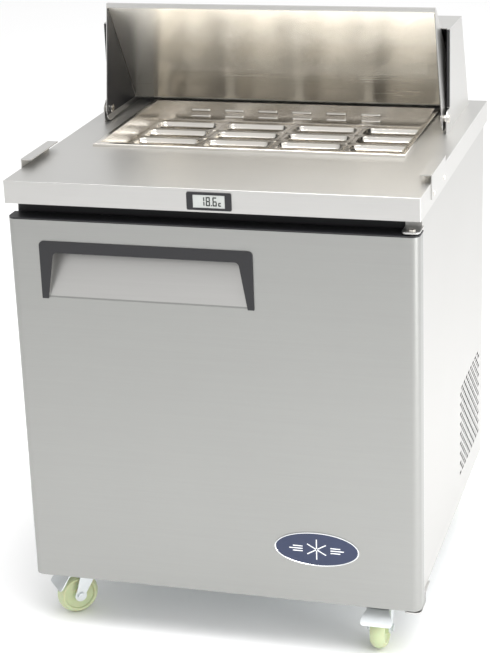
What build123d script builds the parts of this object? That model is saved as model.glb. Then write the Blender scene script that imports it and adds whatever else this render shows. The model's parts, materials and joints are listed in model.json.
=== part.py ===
from build123d import *
import os

# Single-door sandwich prep table on casters: refrigerated cabinet, pan well, fixed rear hood, flip lid.
# Every piece is modelled with X = 0 on the centre line, Y = 0 at the worktop's front edge and Z = 0 on the
# floor. save() then shifts it so that the origin is the centre of the footprint.

# ---- Worktop -------------------------------------------------------------------------------------------
worktop_width = 782.0
worktop_depth = 747.0
worktop_height = 914.0
worktop_sheet = 2.0
apron_height = 43.0
worktop_corner_radius = 3.0

# ---- Pan well ------------------------------------------------------------------------------------------
well_width = 600.0
well_front = 276.0
well_depth = 363.0
well_rim_width = 11.0
well_rim_height = 6.0
liner_sheet = 1.5
well_fit = 0.5
well_floor_sheet = 2.0
louvre_columns = 6
louvre_pitch = 74.0
louvre_shift = -20.0                    # middle of the row from the centre line
louvre_length = 45.0
louvre_radius = 4.0
louvre_heights = (13.0, 26.0)          # below the worktop's surface
louvre_slot = 2.5

# ---- Pans ----------------------------------------------------------------------------------------------
pan_columns = 4
pan_rows = 3
pan_row_pitch = 69.0
pan_drop = 37.0                        # worktop surface down to the pan rims
pan_rim = 2.0
pan_gap = 0.8
pan_rear_gap = 6.0
pan_flange_side = 9.0
pan_flange_end = 8.0
pan_corner = 16.0
pan_rim_corner = 9.0
pan_depth = 98.0
pan_draft = 7.0                        # how much each wall leans in over its depth
pan_wall = 1.0
pan_rest = 5.5                         # width of rest under each side flange

# ---- Cabinet -------------------------------------------------------------------------------------------
cabinet_inset = 7.0
cabinet_front = 45.0
side_sheet = 1.5
base_sheet = 2.0
wall_thickness = 42.0
inner_sheet = 1.0
frame_depth = 4.0
door_overlap = 25.0                    # top of the door opening below the top of the door
lower_room_back = 395.0
step_height = 450.0
rear_wall = 50.0                       # cabinet's back to the upper room
machine_wall = 45.0                    # between the cold room and the machine room
duct_side_gap = 11.0                   # well wall to the side of the air duct
duct_top_gap = 6.0

# ---- Vents ---------------------------------------------------------------------------------------------
vent_back_inset = 33.0
vent_span = 250.0
vent_rise = 62.0                       # lowest row above the cabinet's bottom
vent_rows = 10
vent_row_pitch = 20.0
vent_pitch = 28.0
vent_length = 17.0
vent_height = 6.0
rear_vent_length = 60.0
rear_vent_pitch = 78.0
rear_vent_columns = 6
rear_vent_rows = 8

# ---- Door ----------------------------------------------------------------------------------------------
face_proud = 3.0
trim_proud = 2.0
door_inset = 3.0
door_thickness = 42.0
door_drop = 17.0                       # below the cabinet's bottom
door_top_gap = 26.0                    # below the worktop's apron
door_corner = 16.0
door_sheet = 1.2
door_cap = 3.0
door_liner_sheet = 1.5
gasket_lap = 4.0
gasket_width = 14.0
gasket_gap = 0.3
hinge_edge = 16.0                      # hinge axis in from the door's right side
hinge_back = 12.0                      # hinge axis behind the worktop's front edge
hinge_pin_radius = 4.0
hinge_pin_depth = 22.0
hinge_plate = 3.0
hinge_gap = 3.0
hinge_foot = 44.0
hinge_head = 3.0
hinge_head_rim = 3.0
hinge_half_width = 17.0
running_fit = 0.05

# ---- Door handle and badge -----------------------------------------------------------------------------
handle_inset = 61.0                    # in from the door's left side
handle_width = 411.5
handle_drop = 42.6                     # below the top of the door
handle_height = 112.0
handle_bar = 22.0
handle_leg = 12.0
handle_leg_spread = 15.0               # how much wider each leg is at its top
handle_corner = 9.0
pocket_depth = 30.0
pocket_lip = 15.0                      # how far the pocket reaches up behind the bar
pocket_sheet = 1.2
pocket_slack = 10.0                    # upright part of the pocket's rear wall
pocket_sill = 2.0
pocket_side_gap = 1.0
bar_depth = 9.0
badge_inset = 198.0                    # in from the door's right side
badge_rise = 112.0                     # above the bottom of the door
badge_half_width = 82.0
badge_half_height = 35.0

# ---- Thermometer ---------------------------------------------------------------------------------------
meter_x = 6.0
meter_drop = 1.0                       # below the middle of the apron
meter_corner = 3.0
meter_width = 84.0
meter_height = 33.0
meter_proud = 2.0
meter_body_width = 74.0
meter_body_height = 27.0
meter_body_depth = 34.0
display_width = 60.0
display_height = 24.0
display_proud = 0.6

# ---- Hood and lid (heights above the worktop) ----------------------------------------------------------
hood_inset = 35.0                      # in from the worktop's sides
hood_front = 490.0
hood_height = 200.0
hood_back_room = 25.0                  # depth at the base beyond the height
hood_lean = 90.0
hood_sheet = 2.0
hood_flange = 6.0
hood_roof_inset = 10.0
hood_lug_radius = 18.0
hood_gasket_thickness = 3.0
roof_gasket_depth = 12.0
pivot_ahead = 16.0                      # lid pivot in front of the hood
pivot_height = 26.0
pivot_radius = 5.0
pivot_head_rim = 4.0
pivot_washer_rim = 3.0
pivot_clip = 3.0
lid_side_gap = 8.0                     # lid side to the hood's outside
lid_taper = 14.0                       # how much narrower each side is at the lip
lid_overlap = 23.0                     # lip in front of the well
lid_lip_height = 8.0
lid_clearance = 2.0
lid_back_reach = 11.0
lid_top_gap = 3.5
lid_sheet = 1.5
lid_thickness = 11.0
lid_corner_radius = 24.0
lid_open_angle = 90.0

# ---- Board brackets ------------------------------------------------------------------------------------
bracket_front = 95.0
bracket_length = 139.0
bracket_sheet = 2.0
bracket_rise = 16.0
bracket_drop = 30.0
bracket_reach = 22.0
bracket_screw_inset = 18.0
screw_head_radius = 5.0
screw_head = 2.0
screw_radius = 2.5
screw_length = 8.0

# ---- Shelf ---------------------------------------------------------------------------------------------
shelf_rise = 30.0                      # above the step
shelf_front = 70.0
shelf_back_gap = 100.0
shelf_side_gap = 13.0
shelf_rod = 3.0
shelf_cross_rod = 2.5
shelf_wire = 2.0
shelf_weld = 0.8                       # how deep a wire sinks into the cross rods
shelf_wires = 24
clip_size = 20.0
clip_height = 8.0
clip_inset = 50.0
clip_gap = 0.3

# ---- Machinery -----------------------------------------------------------------------------------------
compressor_x = -40.0
compressor_radius = 68.0
compressor_height = 150.0
compressor_foot = 8.0
compressor_foot_reach = 14.0
compressor_foot_depth = 90.0
compressor_shoulder = 28.0
suction_stub_height = 90.0
suction_stub_length = 30.0
suction_stub_radius = 5.0
coil_inset = 10.0
coil_thickness = 40.0
coil_core_inset = 12.0
coil_fins = 24
coil_fin = 2.0
coil_end_plate = 4.0
shroud_gap = 10.0
shroud_sheet = 2.0
fan_hub_radius = 20.0
fan_hub_length = 18.0
fan_blades = 4
fan_blade_sheet = 2.0
fan_blade_pitch = 25.0
fan_blade_chord = 0.5                  # of the blade's reach
fan_blade_root = 1.0
condenser_fan_radius = 88.0
evaporator_fan_radius = 68.0
fan_gap = 6.0
condenser_shroud = 230.0
evaporator_shroud = 190.0
post_radius = 4.0
post_inset = 8.0
motor_arms = 3
motor_arm_width = 8.0
motor_arm_sheet = 4.0
motor_radius = 28.0
motor_length = 44.0
shaft_radius = 3.0
evaporator_side_gap = 40.5
evaporator_width = 480.0
evaporator_rise = 70.0                 # above the step
evaporator_height = 260.0
evaporator_wall_gap = 5.0
evaporator_fan_x = -60.0
control_box_size = (130.0, 140.0, 110.0)
control_box_side_gap = 20.0
control_box_front_gap = 40.0
control_box_corner = 4.0
control_box_wall = 2.0
inlet_inset = 84.0                     # in from the cabinet's left side
inlet_rise = 76.0                      # above the cabinet's bottom
inlet_radius = 11.0
inlet_length = 22.0                    # inside the back panel
inlet_flange = 2.5
inlet_flange_rim = 5.0
cord_hole_radius = 4.5

# ---- Casters -------------------------------------------------------------------------------------------
caster_side_inset = 83.0
caster_front_inset = 32.0              # swivel axis in from the cabinet's front
caster_rear_inset = 75.0
caster_plate_width = 76.0
caster_plate_depth = 60.0
caster_plate_sheet = 3.0
caster_plate_corner = 6.0
bolt_side_inset = 9.0
bolt_end_inset = 8.0
bolt_head = 4.0
bolt_head_radius = 5.5
race_height = 6.0
race_radius = 24.0
race_gap = 0.3
wheel_radius = 42.0
wheel_width = 29.0
wheel_crown = 7.0                       # how much the tread falls off at its edges
hub_width = 35.0
hub_radius = 13.0
hub_gap = 0.5
hub_chamfer = 4.0
web_rim = 8.0
axle_radius = 4.0
axle_head_radius = 7.5
axle_head = 5.0
fork_sheet = 3.0
fork_clearance = 20.0                  # wheel's top to the crown
fork_crown_sheet = 4.0
fork_race_height = 6.7
fork_front = 24.0                      # crown's edges from the swivel axis
fork_back = 18.0
fork_foot_radius = 12.0
fork_leg_front = 11.0                  # leg's edges from the axle
fork_leg_back = 9.0
trail = 32.0
king_pin_radius = 5.0
pedal_half_width = 25.0
pedal_sheet = 2.0
pedal_pivot_y = -26.0
pedal_pivot_drop = 8.0                 # below the crown
pedal_ear_gap = 0.5
pedal_ear_reach = 8.0
pedal_ear_drop = 6.0
pedal_lip_reach = 5.0                  # beyond the wheel
pedal_fold = 22.0                      # lip to the fold
pedal_fold_drop = 6.0
pedal_lip_drop = 30.0
pedal_ear_radius = 5.0
caster_angles = {"front_left": -50.0, "front_right": 0.0, "rear_left": 145.0, "rear_right": 205.0}

# ---- Derived places ------------------------------------------------------------------------------------
fork_crown = 2 * wheel_radius + fork_clearance
fork_race_top = fork_crown + fork_crown_sheet + fork_race_height
cabinet_bottom = fork_race_top + race_gap + race_height + caster_plate_sheet
half_width = worktop_width / 2
footprint_front = -face_proud - trim_proud
footprint_middle = (footprint_front + worktop_depth) / 2
worktop_under = worktop_height - worktop_sheet
cabinet_half = half_width - cabinet_inset
cabinet_back = worktop_depth - cabinet_inset
inside_half = cabinet_half - side_sheet
upper_room_back = cabinet_back - rear_wall
machine_room_front = lower_room_back + machine_wall
machine_room_top = step_height - machine_wall
frame_back = cabinet_front + frame_depth
floor_top = cabinet_bottom + base_sheet
room_half = inside_half - wall_thickness
room_floor = floor_top + wall_thickness + inner_sheet
well_half = well_width / 2
well_back = well_front + well_depth
pan_seat = worktop_height - pan_drop - pan_rim
well_under = pan_seat - well_floor_sheet
room_top = well_under - inner_sheet
duct_half = well_half - duct_side_gap
pan_pitch = well_width / pan_columns
pans_back = well_back - pan_rear_gap
pans_front = pans_back - pan_rows * pan_row_pitch
pan_slot_inset = (pan_rest + pan_flange_end) / 2
meter_z = worktop_height - apron_height / 2 - meter_drop
hood_half_width = half_width - hood_inset
hood_roof_front = hood_front + hood_roof_inset
hood_base_back = hood_front + hood_height + hood_back_room
hood_top_back = hood_base_back - hood_lean
pivot_y = hood_front - pivot_ahead
pivot_z = worktop_height + pivot_height
lid_base_half_width = hood_half_width - lid_side_gap
lid_lip_half_width = lid_base_half_width - lid_taper
lid_front = well_front - lid_overlap
lid_back = pivot_y + lid_back_reach
lid_top = hood_height - lid_top_gap
lid_low = worktop_height + lid_clearance
door_half = half_width - door_inset
door_bottom = cabinet_bottom - door_drop
door_top = worktop_height - apron_height - door_top_gap
door_opening_top = door_top - door_overlap
door_face = -face_proud
door_back = door_face + door_thickness
hinge_x = door_half - hinge_edge
handle_left = handle_inset - door_half
handle_top = door_top - handle_drop
badge_x = door_half - badge_inset
badge_z = door_bottom + badge_rise
shelf_height = step_height + shelf_rise
shelf_back = upper_room_back - shelf_back_gap
vent_back = cabinet_back - vent_back_inset
vent_front = vent_back - vent_span
vent_bottom = cabinet_bottom + vent_rise
compressor_y = (machine_room_front + cabinet_back) / 2
coil_x = inside_half - coil_inset - coil_thickness
fan_y = (vent_front + vent_back) / 2
fan_z = vent_bottom + (vent_rows - 1) * vent_row_pitch / 2
evaporator_left = evaporator_side_gap - room_half
evaporator_bottom = step_height + evaporator_rise
evaporator_back = upper_room_back - evaporator_wall_gap
evaporator_front = evaporator_back - coil_thickness
evaporator_fan_z = evaporator_bottom + evaporator_height / 2
inlet_x = inlet_inset - cabinet_half
inlet_z = cabinet_bottom + inlet_rise
caster_x = cabinet_half - caster_side_inset
pedal_pivot_z = fork_crown - pedal_pivot_drop


def block(x0, x1, y0, y1, z0, z1):
    """A box between two corners."""
    middle = Pos((x0 + x1) / 2, (y0 + y1) / 2, (z0 + z1) / 2)
    return middle * Box(x1 - x0, y1 - y0, z1 - z0)


def wide(half, y0, y1, z0, z1):
    """A box centred on X = 0."""
    return block(-half, half, y0, y1, z0, z1)


def rod_x(x0, x1, y, z, radius):
    return Pos((x0 + x1) / 2, y, z) * Rot(0, 90, 0) * Cylinder(radius, x1 - x0)


def rod_y(y0, y1, x, z, radius):
    return Pos(x, (y0 + y1) / 2, z) * Rot(90, 0, 0) * Cylinder(radius, y1 - y0)


def rod_z(z0, z1, x, y, radius):
    return Pos(x, y, (z0 + z1) / 2) * Cylinder(radius, z1 - z0)


def outline(points):
    return make_face(Polyline(*points, close=True))


def side_profile(face, x0, x1):
    """A face drawn in (Y, Z) and drawn out from x0 to x1."""
    return extrude(Plane.YZ.offset(x0) * face, amount=x1 - x0)


def front_profile(face, y_front, y_back):
    """A face drawn in (X, Z) and drawn out between two Y planes."""
    return extrude(Plane.XZ.offset(-y_back) * face, amount=y_back - y_front)


def both_sides(piece):
    """A piece and its mirror image across X = 0."""
    return piece + mirror(piece, about=Plane.YZ)


def save(name, piece):
    export_step(Pos(0, -footprint_middle, 0) * piece, f"parts/{name}.step")


# ---- Cabinet -------------------------------------------------------------------------------------------
def make_side_panel():
    return block(cabinet_half - side_sheet, cabinet_half, cabinet_front, cabinet_back,
                 cabinet_bottom, worktop_under)


def vent_slots():
    """Staggered rows of short slots through the right side panel."""
    slots = []
    for row in range(vent_rows):
        shift = vent_pitch / 2 if row % 2 else 0
        z = vent_bottom + row * vent_row_pitch
        y = vent_front + shift
        while y + vent_length <= vent_back:
            slots.append(block(inside_half - side_sheet, cabinet_half + side_sheet,
                               y, y + vent_length, z - vent_height / 2, z + vent_height / 2))
            y += vent_pitch
    return slots


def make_back_panel():
    panel = wide(inside_half, cabinet_back - side_sheet, cabinet_back, cabinet_bottom, worktop_under)
    slots = []
    for row in range(rear_vent_rows):
        z = vent_bottom + row * vent_row_pitch
        for column in range(rear_vent_columns):
            x = (column - (rear_vent_columns - 1) / 2) * rear_vent_pitch
            slots.append(block(x - rear_vent_length / 2, x + rear_vent_length / 2,
                               cabinet_back - 2 * side_sheet, cabinet_back + side_sheet,
                               z - vent_height / 2, z + vent_height / 2))
    panel -= slots
    return panel - rod_y(cabinet_back - 2 * side_sheet, cabinet_back + side_sheet,
                         inlet_x, inlet_z, inlet_radius + running_fit)


def make_base_panel():
    return wide(inside_half, cabinet_front, cabinet_back - side_sheet, cabinet_bottom, floor_top)


def room_block(grow, front):
    """The L-shaped cold room, grown by the given amount on every side."""
    half = room_half + grow
    lower = wide(half, front, lower_room_back + grow, room_floor - grow, room_top + grow)
    upper = wide(half, lower_room_back - grow, upper_room_back + grow, step_height - grow, room_top + grow)
    return lower + upper


def duct_block(bottom, top):
    """The air duct between the evaporator room and the louvres."""
    return wide(duct_half, well_back + liner_sheet, upper_room_back, bottom, top)


def pan_slot_block(bottom, top):
    """The space under the well through which the pans hang."""
    return wide(well_half - pan_rest, pans_front + pan_slot_inset, pans_back - pan_slot_inset + pan_gap,
                bottom, top)


def make_cabinet_liner():
    liner = room_block(inner_sheet, frame_back) - room_block(0, frame_back - 1)
    liner -= pan_slot_block(room_top - 1, well_under + 1)
    return liner - duct_block(room_top - 1, well_under + 1)


def make_insulation():
    foam = wide(inside_half, frame_back, cabinet_back - side_sheet, floor_top, worktop_under)
    foam -= room_block(inner_sheet, frame_back - 1)
    foam -= wide(inside_half + 1, machine_room_front, cabinet_back, floor_top - 1, machine_room_top)
    foam -= wide(well_half + liner_sheet, well_front - liner_sheet, well_back + liner_sheet,
                 well_under, worktop_height)
    return foam - duct_block(well_under, worktop_under - duct_top_gap)


def make_front_frame():
    frame = wide(inside_half, cabinet_front, frame_back, floor_top, worktop_under)
    return frame - wide(room_half, cabinet_front - 1, frame_back + 1, room_floor, door_opening_top)


# ---- Worktop and pan well ------------------------------------------------------------------------------
def make_worktop():
    top = wide(half_width, 0, worktop_depth, worktop_height - apron_height, worktop_height)
    top = fillet(top.edges().filter_by(Axis.Z), worktop_corner_radius)
    top = fillet(top.faces().sort_by(Axis.Z)[-1].edges(), worktop_sheet * 0.7)
    top -= wide(half_width - worktop_sheet, worktop_sheet, worktop_depth - worktop_sheet,
                worktop_height - apron_height - 1, worktop_under)
    reach = liner_sheet + well_fit
    top -= wide(well_half + reach, well_front - reach, well_back + reach,
                worktop_under - 1, worktop_height + 1)
    top -= bracket_screw_holes()
    return top - meter_block(meter_body_width + 2 * well_fit, meter_body_height + 2 * well_fit,
                             -1, worktop_sheet + 1)


def make_louvre(x, z):
    """A pressed louvre that hoods an air slot in the well's rear wall."""
    straight = louvre_length / 2 - louvre_radius
    hood = rod_x(x - straight, x + straight, well_back, z, louvre_radius)
    hood += Pos(x - straight, well_back, z) * Sphere(louvre_radius)
    hood += Pos(x + straight, well_back, z) * Sphere(louvre_radius)
    return hood & block(x - louvre_length, x + louvre_length, well_back - 2 * louvre_radius,
                        well_back + liner_sheet, z - 2 * louvre_radius, z + 2 * louvre_radius)


def make_well_liner():
    rim_top = worktop_height + well_rim_height
    rim = wide(well_half + well_rim_width, well_front - well_rim_width, well_back + well_rim_width,
               worktop_height, rim_top)
    rim = fillet(rim.faces().sort_by(Axis.Z)[-1].edges(), well_rim_height * 0.5)
    walls = wide(well_half + liner_sheet, well_front - liner_sheet, well_back + liner_sheet,
                 well_under, worktop_height)
    liner = rim + walls - wide(well_half, well_front, well_back, pan_seat, rim_top + 1)
    for drop in louvre_heights:
        for column in range(louvre_columns):
            x = louvre_shift + (column - (louvre_columns - 1) / 2) * louvre_pitch
            z = worktop_height - drop
            liner += make_louvre(x, z)
            slot = louvre_length / 2 - louvre_radius
            liner -= block(x - slot, x + slot, well_back - louvre_radius + liner_sheet,
                           well_back + 2 * liner_sheet, z - louvre_radius, z - louvre_radius + louvre_slot)
    for column in range(pan_columns):
        x = (column - (pan_columns - 1) / 2) * pan_pitch
        liner -= block(x - pan_pitch / 2 + pan_rest, x + pan_pitch / 2 - pan_rest,
                       pans_front + pan_slot_inset, pans_back - pan_slot_inset + pan_gap,
                       well_under - 1, pan_seat + 1)
    return liner


def make_pan(column, row):
    """A rimmed food pan with tapered walls."""
    width = pan_pitch - pan_gap
    depth = pan_row_pitch - pan_gap
    mouth = (width - 2 * pan_flange_side, depth - 2 * pan_flange_end)
    base = (mouth[0] - 2 * pan_draft, mouth[1] - 2 * pan_draft)
    base_corner = pan_corner - pan_draft / 2
    wall = 2 * pan_wall

    def section(size, corner, z):
        return Pos(0, 0, z) * RectangleRounded(size[0], size[1], corner)

    outside = loft([section((mouth[0] + wall, mouth[1] + wall), pan_corner + pan_wall, pan_rim),
                    section((base[0] + wall, base[1] + wall), base_corner + pan_wall, -pan_depth)])
    inside = loft([section(mouth, pan_corner, pan_rim),
                   section(base, base_corner, pan_wall - pan_depth)])
    flange = extrude(RectangleRounded(width, depth, pan_rim_corner), amount=pan_rim)
    flange = fillet(flange.faces().sort_by(Axis.Z)[-1].edges(), pan_rim * 0.6)
    pan = flange + outside - inside
    x = (column - (pan_columns - 1) / 2) * pan_pitch
    y = pans_back - (row + 0.5) * pan_row_pitch
    return Pos(x, y, pan_seat) * pan


def make_brackets():
    """The folded sheet clips that carry a cutting board, one on each side of the worktop."""
    back = bracket_front + bracket_length
    outer = half_width + bracket_sheet
    wall = block(half_width, outer, bracket_front, back,
                 worktop_height - bracket_drop, worktop_height + bracket_rise)
    top = block(outer - bracket_reach, outer, bracket_front, back,
                worktop_height + bracket_rise - bracket_sheet, worktop_height + bracket_rise)
    return both_sides(wall + top) - bracket_screw_holes()


def bracket_screw_places():
    back = bracket_front + bracket_length
    return (bracket_front + bracket_screw_inset, back - bracket_screw_inset)


def bracket_screw_holes():
    reach = half_width + 2 * bracket_sheet
    return [rod_x(-reach, reach, y, worktop_height - apron_height / 2, screw_radius + running_fit)
            for y in bracket_screw_places()]


def make_bracket_screws():
    outer = half_width + bracket_sheet
    z = worktop_height - apron_height / 2
    screws = Part()
    for y in bracket_screw_places():
        head = rod_x(outer, outer + screw_head, y, z, screw_head_radius)
        head = fillet(head.edges().sort_by(Axis.X)[-1], screw_head * 0.6)
        shank = rod_x(outer - screw_length, outer, y, z, screw_radius)
        screws += both_sides(head + shank)
    return screws


def meter_block(width, height, y_front, y_back):
    """A box on the thermometer's centre."""
    return block(meter_x - width / 2, meter_x + width / 2, y_front, y_back,
                 meter_z - height / 2, meter_z + height / 2)


def make_meter_bezel():
    frame = meter_block(meter_width, meter_height, -meter_proud, 0)
    frame = fillet(frame.edges().filter_by(Axis.Y), meter_corner)
    frame += meter_block(meter_body_width, meter_body_height, 0, meter_body_depth)
    return frame - meter_block(display_width, display_height, -meter_proud - 1, 0)


def make_meter_display():
    return meter_block(display_width, display_height, display_proud - meter_proud, 0)


# ---- Hood ----------------------------------------------------------------------------------------------
def make_hood():
    top = worktop_height + hood_height
    shell = side_profile(outline([(hood_front, worktop_height), (hood_base_back, worktop_height),
                                  (hood_top_back, top), (hood_front, top)]),
                         -hood_half_width, hood_half_width)
    hollow = side_profile(outline([(hood_front - 1, worktop_height - 1),
                                   (hood_base_back - hood_sheet, worktop_height - 1),
                                   (hood_top_back - hood_sheet, top - hood_sheet),
                                   (hood_front - 1, top - hood_sheet)]),
                          hood_sheet - hood_half_width, hood_half_width - hood_sheet)
    shell -= hollow
    shell -= wide(hood_half_width - hood_flange, hood_front - 1, hood_roof_front,
                  top - hood_sheet - 1, top + 1)
    flange = block(hood_half_width - hood_flange, hood_half_width, hood_front, hood_front + hood_sheet,
                   pivot_z + hood_lug_radius, top)
    inner = hood_half_width - hood_sheet
    lug = rod_x(inner, hood_half_width, pivot_y, pivot_z, hood_lug_radius)
    lug += block(inner, hood_half_width, pivot_y - hood_lug_radius, hood_front + 1, worktop_height, pivot_z)
    lug += block(inner, hood_half_width, pivot_y, hood_front + 1, pivot_z, pivot_z + hood_lug_radius)
    shell += both_sides(flange + lug)
    return shell - rod_x(-hood_half_width - 1, hood_half_width + 1, pivot_y, pivot_z,
                         pivot_radius + running_fit)


def make_hood_gasket():
    top = worktop_height + hood_height
    strip = block(hood_half_width - hood_flange + 0.5, hood_half_width - 0.5,
                  hood_front - hood_gasket_thickness, hood_front,
                  pivot_z + hood_lug_radius + 2, top - hood_sheet)
    roof_front = hood_roof_front + 1
    roof = wide(hood_half_width - hood_flange - 2, roof_front, roof_front + roof_gasket_depth,
                top - 2 * hood_sheet, top - hood_sheet)
    return both_sides(strip) + roof


# ---- Lid: drawn closed, then swung open to its rest position ---------------------------------------------
def swing_open(piece):
    return Pos(0, pivot_y, pivot_z) * Rot(-lid_open_angle, 0, 0) * Pos(0, -pivot_y, -pivot_z) * piece


def lid_wedge(inset):
    """The closed lid's full wedge, narrowed by the inset on each side."""
    corner = pivot_y + lid_corner_radius
    face = outline([(lid_front, lid_low), (lid_front, lid_low + lid_lip_height),
                    (lid_back, worktop_height + lid_top), (corner, pivot_z), (pivot_y, lid_low)])
    face += Pos(pivot_y, pivot_z) * Circle(lid_corner_radius)
    lip = lid_lip_half_width - inset
    base = lid_base_half_width - inset
    behind = corner + 10
    plan = outline([(-lip, lid_front), (lip, lid_front), (base, pivot_y), (base, behind),
                    (-base, behind), (-base, pivot_y)])
    column = extrude(Pos(0, 0, worktop_height) * plan, amount=2 * hood_height)
    return side_profile(face, -base, base) & column


def lid_layer(near, far):
    """A slab lying between two depths below the lid's sloping outer face."""
    low = lid_low + lid_lip_height
    run = lid_back - lid_front
    rise = worktop_height + lid_top - low
    length = (run ** 2 + rise ** 2) ** 0.5
    along = (run / length, rise / length)
    inward = (along[1], -along[0])
    reach = 60.0

    def point(distance, depth):
        return (lid_front + along[0] * distance + inward[0] * depth,
                low + along[1] * distance + inward[1] * depth)

    return side_profile(outline([point(-reach, near), point(length + reach, near),
                                 point(length + reach, far), point(-reach, far)]),
                        -2 * lid_base_half_width, 2 * lid_base_half_width)


def lid_inside():
    """The space between the lid's folded front and rear edges."""
    return wide(lid_base_half_width, lid_front + lid_sheet, lid_back - lid_sheet,
                lid_low + lid_sheet, lid_low + hood_height)


def make_lid_shell():
    """Outer skin, folded lip and the two side plates in one piece of sheet."""
    hollow = lid_wedge(lid_sheet) & lid_layer(lid_thickness, 2 * hood_height)
    channel = lid_wedge(lid_sheet) & lid_layer(lid_sheet, lid_thickness) & lid_inside()
    shell = lid_wedge(0) - hollow - channel
    shell -= rod_x(-hood_half_width, hood_half_width, pivot_y, pivot_z, pivot_radius + running_fit)
    return swing_open(shell)


def make_lid_inner_panel():
    panel = lid_wedge(lid_sheet) & lid_layer(lid_thickness - inner_sheet, lid_thickness)
    return swing_open(panel & lid_inside())


def make_lid_pin():
    """Headed pin with a washer between hood and lid and a clip inside the lid."""
    clip = lid_base_half_width - lid_sheet - 2
    pin = rod_x(clip - pivot_clip, hood_half_width + screw_head, pivot_y, pivot_z, pivot_radius)
    pin += rod_x(hood_half_width, hood_half_width + screw_head, pivot_y, pivot_z,
                 pivot_radius + pivot_head_rim)
    pin += rod_x(lid_base_half_width + 1, hood_half_width - hood_sheet, pivot_y, pivot_z,
                 pivot_radius + pivot_washer_rim)
    return pin + rod_x(clip - pivot_clip, clip, pivot_y, pivot_z, pivot_radius + pivot_washer_rim)


# ---- Door ----------------------------------------------------------------------------------------------
def door_slab(inset, y_back, z0, z1):
    """The door's plan shape with its rounded front corners, inset from the skin's outside."""
    slab = wide(door_half - inset, door_face + inset, y_back, z0, z1)
    front = slab.edges().filter_by(Axis.Z).sort_by(Axis.Y)[:2]
    return fillet(front, door_corner - inset)


def pocket_region(grow, reach_front):
    """The finger pocket behind the handle: a sloping scoop with a lip up behind the bar."""
    bottom = handle_top - handle_height
    lip_top = handle_top - handle_bar + pocket_lip
    deep = door_face + pocket_depth
    scoop = handle_height - handle_bar - pocket_slack
    slope = scoop / pocket_depth
    sill = bottom + pocket_sill
    front = door_face - reach_front
    face = outline([(front, sill - slope * (reach_front + grow)), (deep + grow, sill + scoop - grow),
                    (deep + grow, lip_top + grow), (front, lip_top + grow)])
    inset = handle_leg + pocket_side_gap - grow
    return side_profile(face, handle_left + inset, handle_left + handle_width - inset)


def make_door_skin():
    back = door_back - door_liner_sheet
    low = door_bottom + door_cap
    high = door_top - door_cap
    skin = door_slab(0, back, low, high) - door_slab(door_sheet, back + 1, low - 1, high + 1)
    front_sheet = wide(door_half, door_face - 5, door_face + 1.5 * door_sheet, low, high)
    return skin - (pocket_region(0, 5) & front_sheet)


def hinge_hole(z0, z1, radius):
    return rod_z(z0, z1, hinge_x, hinge_back, radius)


def make_door_caps():
    slab = door_slab(0, door_back, door_bottom, door_bottom + door_cap)
    slab += door_slab(0, door_back, door_top - door_cap, door_top)
    return slab - hinge_hole(door_bottom - 1, door_top + 1, hinge_pin_radius + running_fit)


def make_door_liner():
    return wide(door_half, door_back - door_liner_sheet, door_back,
                door_bottom + door_cap, door_top - door_cap)


def make_door_foam():
    low = door_bottom + door_cap
    high = door_top - door_cap
    foam = door_slab(door_sheet, door_back - door_liner_sheet, low, high)
    foam -= pocket_region(pocket_sheet, 5)
    socket = hinge_pin_depth + 3
    foam -= hinge_hole(low - 1, low + socket, hinge_pin_radius + 1)
    return foam - hinge_hole(high - socket, high + 1, hinge_pin_radius + 1)


def make_door_gasket():
    inner = room_half + gasket_lap
    outer = inner + gasket_width
    low = room_floor - gasket_lap
    high = door_opening_top + gasket_lap
    back = cabinet_front - gasket_gap
    ring = wide(outer, door_back, back, low - gasket_width, high + gasket_width)
    return ring - wide(inner, door_back - 1, back + 1, low, high)


def make_handle_pocket():
    front = door_face + door_sheet
    shell = pocket_region(pocket_sheet, 0) & wide(door_half, front, door_back, door_bottom, door_top)
    return shell - pocket_region(0, 5)


def make_handle_trim():
    right = handle_left + handle_width
    bottom = handle_top - handle_height
    under_bar = handle_top - handle_bar
    plate = block(handle_left, right, door_face - trim_proud, door_face, bottom, handle_top)
    plate = fillet(plate.edges().filter_by(Axis.Y).sort_by(Axis.Z)[2:], handle_corner)
    opening = outline([(handle_left + handle_leg, bottom - 1), (right - handle_leg, bottom - 1),
                       (right - handle_leg - handle_leg_spread, under_bar),
                       (handle_left + handle_leg + handle_leg_spread, under_bar)])
    opening = fillet(opening.vertices().sort_by(Axis.Y)[2:], handle_corner)
    trim = plate - front_profile(opening, door_face - trim_proud - 1, door_face + 1)
    inset = handle_leg + 2
    lip = block(handle_left + inset, right - inset, door_face, door_face + bar_depth,
                under_bar, under_bar + pocket_lip - 1)
    return trim + lip


def make_badge():
    return front_profile(Pos(badge_x, badge_z) * Ellipse(badge_half_width, badge_half_height),
                         door_face - trim_proud, door_face)


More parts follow.
